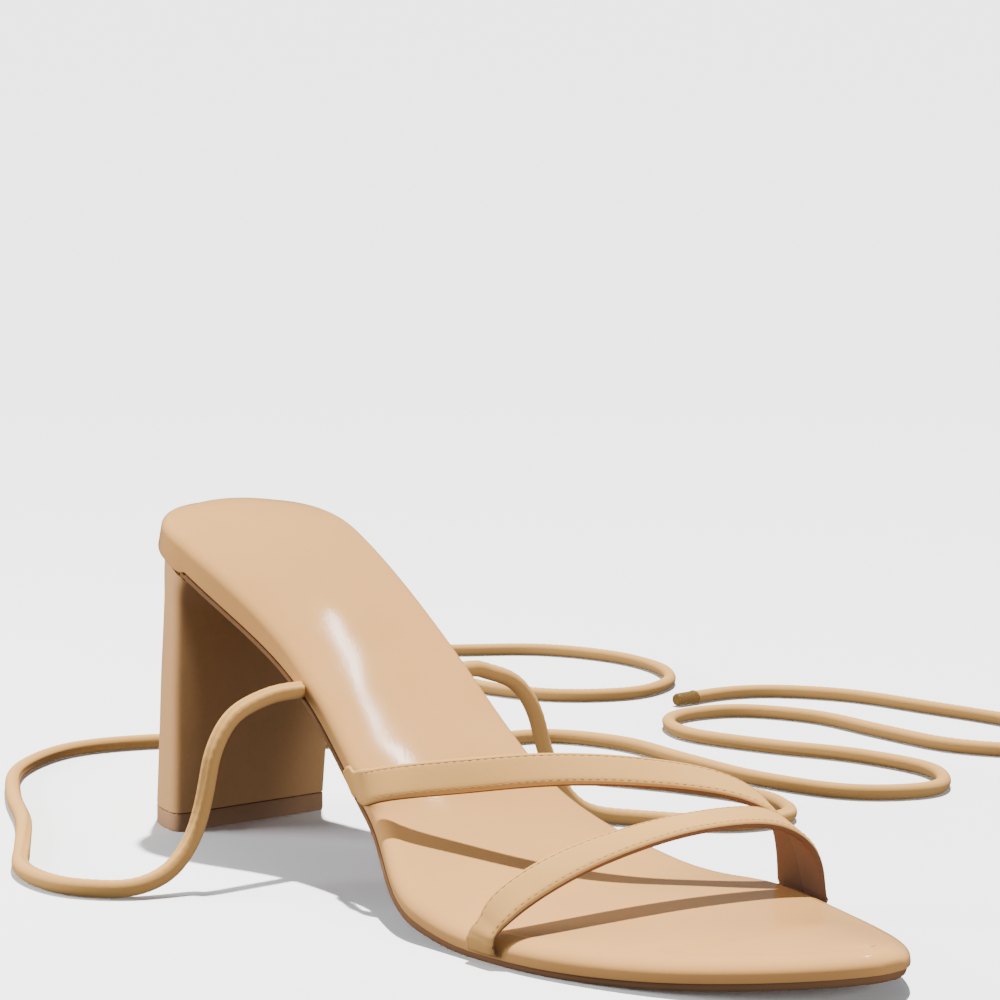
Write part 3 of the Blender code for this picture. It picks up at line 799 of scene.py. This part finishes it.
def strap_frames(table, ends, rake=0.0):
    """Close frames along a strap: middle, outward unit, heelward unit, half thickness, half width."""
    first = strap_end(ends[0], -1, table[0][5], rake)
    last = strap_end(ends[1], 1, table[-1][5])
    frames = first + strap_arch(table, first[-1], last[-1]) + last[::-1]
    rows = []
    for middle, thick, width in frames:
        size, wide = np.linalg.norm(thick), np.linalg.norm(width)
        rows.append(np.concatenate([middle, thick / size, width / wide, [size, wide]]))
    dense = through(rows, np.linspace(0, 1, 2400))
    length = np.concatenate([[0], np.cumsum(np.linalg.norm(np.diff(dense[:, :3], axis=0), axis=1))])
    at = np.linspace(0, length[-1], int(length[-1] / 0.7))
    even = np.stack([np.interp(at, length, dense[:, k]) for k in range(dense.shape[1])], axis=-1)
    for part in (slice(3, 6), slice(6, 9)):
        even[:, part] = eased(even[:, part])
        even[:, part] /= np.linalg.norm(even[:, part], axis=1)[:, None]
    from_end = np.minimum(at, at[-1] - at) - MARGIN_LENGTH
    free = smoothstep(from_end, 3.0, 8.0)[:, None]
    even[:, :3] += free * (eased(even[:, :3], 8) - even[:, :3])
    share = END_THIN + (1 - END_THIN) * smoothstep(from_end, 4.0, 16.0)
    thin = np.minimum(even[:, 9], STRAP_THICK / 2 * share)
    even[:, :3] -= ((even[:, 9] - thin) * (from_end > 3.0))[:, None] * even[:, 3:6]
    even[:, 9] = thin
    lateral = at < at[-1] / 2
    even[:, 10] -= END_NARROW[0] * lateral * bell(from_end, *END_NARROW[1:])
    return at, even


def eased(rows, reach=5):
    """Rows averaged with their neighbours."""
    start, end = 2 * rows[0] - rows[reach:0:-1], 2 * rows[-1] - rows[-2 : -reach - 2 : -1]
    padded = np.concatenate([start, rows, end])
    return np.mean([padded[k : k + len(rows)] for k in range(2 * reach + 1)], axis=0)


def on_strap(frames, across, outward):
    """Points on a strap's frames at shares of its half width and half thickness."""
    return (
        frames[:, :3]
        + across * frames[:, 10:11] * frames[:, 6:9]
        + outward * frames[:, 9:10] * frames[:, 3:6]
    )


def make_strap(name, frames, look, shade_lining):
    section = strap_section()
    rings = np.stack([on_strap(frames, across, outward) for across, outward in section], axis=1)
    size = rings.shape[1]
    strap = add_mesh(name, rings.reshape(-1, 3), capped(rings), look)
    strap.data.materials.append(shade_lining)
    for face in strap.data.polygons:
        across, outward = (max(section[k % size][i] for k in face.vertices) for i in (0, 1))
        # Faces under the strap and along its lower rounded edges take the dark lining colour, painted
        # shade
        if outward < (-0.3 if across > 0 else 0.4):
            face.material_index = 1
    return strap


def tube(centres, radii, up):
    """Points of a small six-sided tube."""
    rings = []
    for k, (centre, radius) in enumerate(zip(centres, radii)):
        way = centres[min(k + 1, len(centres) - 1)] - centres[max(k - 1, 0)]
        side = np.cross(way, up)
        side /= np.linalg.norm(side)
        rings.append([centre + radius * (cos(a) * side + sin(a) * up) for a in np.arange(6) * pi / 3])
    return np.array(rings)


def make_stitches(name, length, frames, clear, look):
    """Rows of stitches that lie in the grooves along both edges of a strap."""
    points, faces = [], []
    for start in np.arange(clear[0], length[-1] - clear[1], STITCH_PITCH):
        at = start + np.linspace(0, STITCH_LENGTH, 5)
        rows = np.stack([np.interp(at, length, frames[:, k]) for k in range(frames.shape[1])], axis=-1)
        for side in (-1, 1):
            across = side * (1 - STITCH_FROM_EDGE / rows[:, 10:11])
            lift = np.array([0.88, 1.0, 1.03, 1.0, 0.88])[:, None]
            centres = on_strap(rows, across, lift)
            rings = tube(centres, np.array([0.4, 0.95, 1.0, 0.95, 0.4]) * STITCH_RADIUS, rows[2, 3:6])
            faces += capped(rings, len(points))
            points.extend(rings.reshape(-1, 3))
    return add_mesh(name, np.array(points), faces, look, 80)


def tie_line(side, route):
    """Close points along a tie, cut at the tie's real length."""
    start, edge = tie_start(side)
    begin = [start, (start + edge) / 2, edge, edge + np.array([side * 6.0, 0, -0.1])]
    dense = through([*begin, *route], np.linspace(0, 1, 9000))
    dense[:, 2] = np.maximum(dense[:, 2], FLOOR)
    length = np.concatenate([[0], np.cumsum(np.linalg.norm(np.diff(dense, axis=0), axis=1))])
    dense = eased(dense, 60)
    total = min(TIE_LENGTH, length[-1])
    at = np.linspace(0, total, int(total / 0.6))
    return at, np.stack([np.interp(at, length, dense[:, k]) for k in range(3)], axis=-1)


def make_tie(name, at, line, look):
    """A rolled strip: a tube whose one seam winds slowly round it between small puckers."""
    tangents = np.gradient(line, axis=0)
    tangents /= np.linalg.norm(tangents, axis=1)[:, None]
    side = np.cross(tangents, [0, 0, 1.0])
    weak = np.linalg.norm(side, axis=1) < 1e-6
    side[weak] = [0, 1.0, 0]
    side /= np.linalg.norm(side, axis=1)[:, None]
    above = np.cross(side, tangents)
    angles = np.linspace(0, 2 * pi, 28, endpoint=False)[None, :]
    seam = 0.9 + 2 * pi * SEAM_TURN * at[:, None] / TIE_LENGTH
    off = np.abs((angles - seam + pi) % (2 * pi) - pi)
    pucker = np.cos(2 * pi * at[:, None] / PUCKER_PITCH)
    radius = TIE_RADIUS - SEAM_SHOULDER[0] - SEAM_GROOVE[0] * bell(off, 0.0, SEAM_GROOVE[1])
    radius = radius + SEAM_SHOULDER[0] * bell(off, *SEAM_SHOULDER[1:])
    radius = radius + PUCKER[0] * pucker * bell(off, *PUCKER[1:])
    rings = (
        line[:, None]
        + (radius * np.cos(angles))[..., None] * side[:, None]
        + (radius * np.sin(angles))[..., None] * above[:, None]
    )
    return add_mesh(name, rings.reshape(-1, 3), capped(rings), look, 80)


def make_aglet(name, line, look):
    """A turned metal tip just past the tie's end, with a crimped ring."""
    way = line[-1] - line[-12]
    way[2] = 0
    way /= np.linalg.norm(way)
    across, up = np.array([way[1], -way[0], 0]), np.array([0, 0, 1.0])
    start = line[-1] + GAP * way
    start[2] = AGLET_PROFILE[1][1] + 0.05
    angles = np.linspace(0, 2 * pi, 40, endpoint=False)
    shares, radii = zip(*AGLET_PROFILE)
    rings = []
    for share in np.linspace(0, 1, 40):
        radius = float(np.interp(share, shares, radii))
        radius -= 0.18 * float(bell(share, 0.19, 0.02))
        middle = start + share * AGLET_LENGTH * way
        rings.append([middle + radius * (cos(a) * across + sin(a) * up) for a in angles])
    rings = np.array(rings)
    return add_mesh(name, rings.reshape(-1, 3), capped(rings), look, 40)


def make_camera():
    azimuth, fall, roll = (radians(x) for x in CAMERA_TURN)
    back = Vector((-sin(azimuth) * cos(fall), -cos(azimuth) * cos(fall), sin(fall)))
    level = (-back).cross(Vector((0, 0, 1))).normalized()
    upright = level.cross(-back)
    right = cos(roll) * level + sin(roll) * upright
    up = -sin(roll) * level + cos(roll) * upright
    data = bpy.data.cameras.new("camera")
    data.sensor_width = 36.0
    data.lens = FOCAL * 36.0
    camera = bpy.data.objects.new("camera", data)
    placed = Matrix((right, up, back)).transposed().to_4x4()
    placed.translation = Vector(to_scene(CAMERA_AT)[0])
    camera.matrix_world = placed
    bpy.context.scene.collection.objects.link(camera)
    bpy.context.scene.camera = camera


def make_floor():
    """A pale floor that sweeps up into the wall far behind."""
    finish = Finish("pale_floor")
    finish.set(Base_Color=(*FLOOR_COLOUR, 1.0), Roughness=0.9, Specular_IOR_Level=0.2)
    slope = radians(BACKDROP_SLOPE)
    start, radius = BACKDROP_BEND
    bend = [(start + radius * sin(a), radius * (1 - cos(a))) for a in np.linspace(0, slope, 16)]
    far, height = bend[-1]
    top = (far + BACKDROP_LENGTH * cos(slope), height + BACKDROP_LENGTH * sin(slope))
    profile = [(-FLOOR_NEAR, 0.0), *bend, top]
    turn = radians(CAMERA_TURN[0])
    points, faces = [], []
    for far, height in profile:
        for across in (-FLOOR_SIDE, FLOOR_SIDE):
            x, y = across * cos(turn) + far * sin(turn), -across * sin(turn) + far * cos(turn)
            points.append((x + MIDDLE_ACROSS, MIDDLE_ALONG - y, height))
    for i in range(len(profile) - 1):
        faces.append((2 * i, 2 * i + 1, 2 * i + 3, 2 * i + 2))
    floor = add_mesh("floor", np.array(points), faces, finish.material)
    floor.visible_diffuse = False
    floor.visible_glossy = False


def soft_box(name, place, aim, size, power, shines):
    """A large square light at a place, turned to what it lights."""
    light = bpy.data.lights.new(name, "AREA")
    light.size = size
    light.energy = power
    box = bpy.data.objects.new(name, light)
    box.location = place
    box.visible_glossy = shines
    box.rotation_mode = "QUATERNION"
    box.rotation_quaternion = (Vector(aim) - Vector(place)).to_track_quat("-Z", "Y")
    bpy.context.scene.collection.objects.link(box)


def make_light():
    sun = bpy.data.lights.new("sun", "SUN")
    sun.energy = SUN_STRENGTH
    sun.angle = radians(SUN_ANGLE)
    sun.color = SUN_COLOUR
    lamp = bpy.data.objects.new("sun", sun)
    lamp.visible_glossy = False
    lamp.rotation_mode = "QUATERNION"
    lamp.rotation_quaternion = Vector(SUN_TRAVEL).to_track_quat("-Z", "Y")
    bpy.context.scene.collection.objects.link(lamp)
    for box in SOFT_BOXES:
        soft_box(*box)
    ends = [Vector(end) for end in STRIP_ENDS]
    middle, long_way = (ends[0] + ends[1]) / 2, (ends[1] - ends[0]).normalized()
    behind = (middle - Vector((0.0, 0.02, 0.04))).normalized()
    behind = (behind - behind.dot(long_way) * long_way).normalized()
    light = bpy.data.lights.new("strip", "AREA")
    light.shape = "RECTANGLE"
    light.size, light.size_y = (ends[1] - ends[0]).length, STRIP_WIDTH
    light.energy = STRIP_POWER
    strip = bpy.data.objects.new("strip", light)
    placed = Matrix((long_way, behind.cross(long_way), behind)).transposed().to_4x4()
    placed.translation = middle
    strip.matrix_world = placed
    bpy.context.scene.collection.objects.link(strip)
    world = bpy.data.worlds.new("studio")
    world.use_nodes = True
    background = world.node_tree.nodes["Background"]
    background.inputs["Color"].default_value = (*SKY, 1.0)
    background.inputs["Strength"].default_value = SKY_STRENGTH
    bpy.context.scene.world = world


def make_ties(look, gold):
    for name, side, route in (("lateral", -1, LATERAL_ROUTE), ("medial", 1, MEDIAL_ROUTE)):
        at, line = tie_line(side, route)
        rope = place_piece(make_tie(f"rolled_tie_{name}", at, line, look), "tie", f"tie_{name}")
        tip = place_piece(make_aglet(f"metal_tip_{name}", line, gold), "aglet", f"aglet_{name}")


def make_straps(look, shade_lining, sewn):
    straps = (
        ("rear", REAR_STRAP, REAR_ENDS, REAR_RAKE, (15.0, 12.0)),
        ("front", FRONT_STRAP, FRONT_ENDS, 0.0, (12.0, 12.0)),
    )
    for name, table, ends, rake, clear in straps:
        length, frames = strap_frames(table, ends, rake)
        place_piece(make_strap(f"strap_{name}", frames, look, shade_lining), "straps", "straps")
        place_piece(make_stitches(f"stitches_{name}", length, frames, clear, sewn), "straps")


def main():
    make_camera()
    make_ties(leather("tie_leather", STRAP_LEATHER, (0.4, 0.5), 0.3), metal("pale_gold", GOLD, 0.3))
    make_floor()
    make_light()
    skin = leather("footbed_leather", LEATHER, gloss=(0.09, 0.12), grain=0.04)
    place_piece(make_footbed(skin), "footbed", "footbed")
    # The heel's leather is a shaded copy of the footbed's leather, a painted shade tone
    place_piece(make_heel(leather("heel_leather_shade_tone", HEEL_LEATHER_SHADE_TONE)), "heel", "heel")
    # The outsole's dark colour is painted shade under the footbed's edge
    place_piece(make_outsole(moulded("sheet_sole_painted_shade", SOLE_PAINTED_SHADE)), "outsole", "outsole")
    place_piece(make_heel_cap(moulded("top_piece_rubber", CAP, 0.5)), "heel_cap", "heel_cap")
    outer = leather("strap_leather", STRAP_LEATHER, (0.5, 0.6), 0.2)
    # The lining's dark colour is painted shade on the straps' inner faces and lower edges
    shade_lining = leather("strap_lining_painted_shade", LINING_PAINTED_SHADE, (0.6, 0.7), 0.15)
    make_straps(outer, shade_lining, thread("sewing_thread", THREAD))


main()
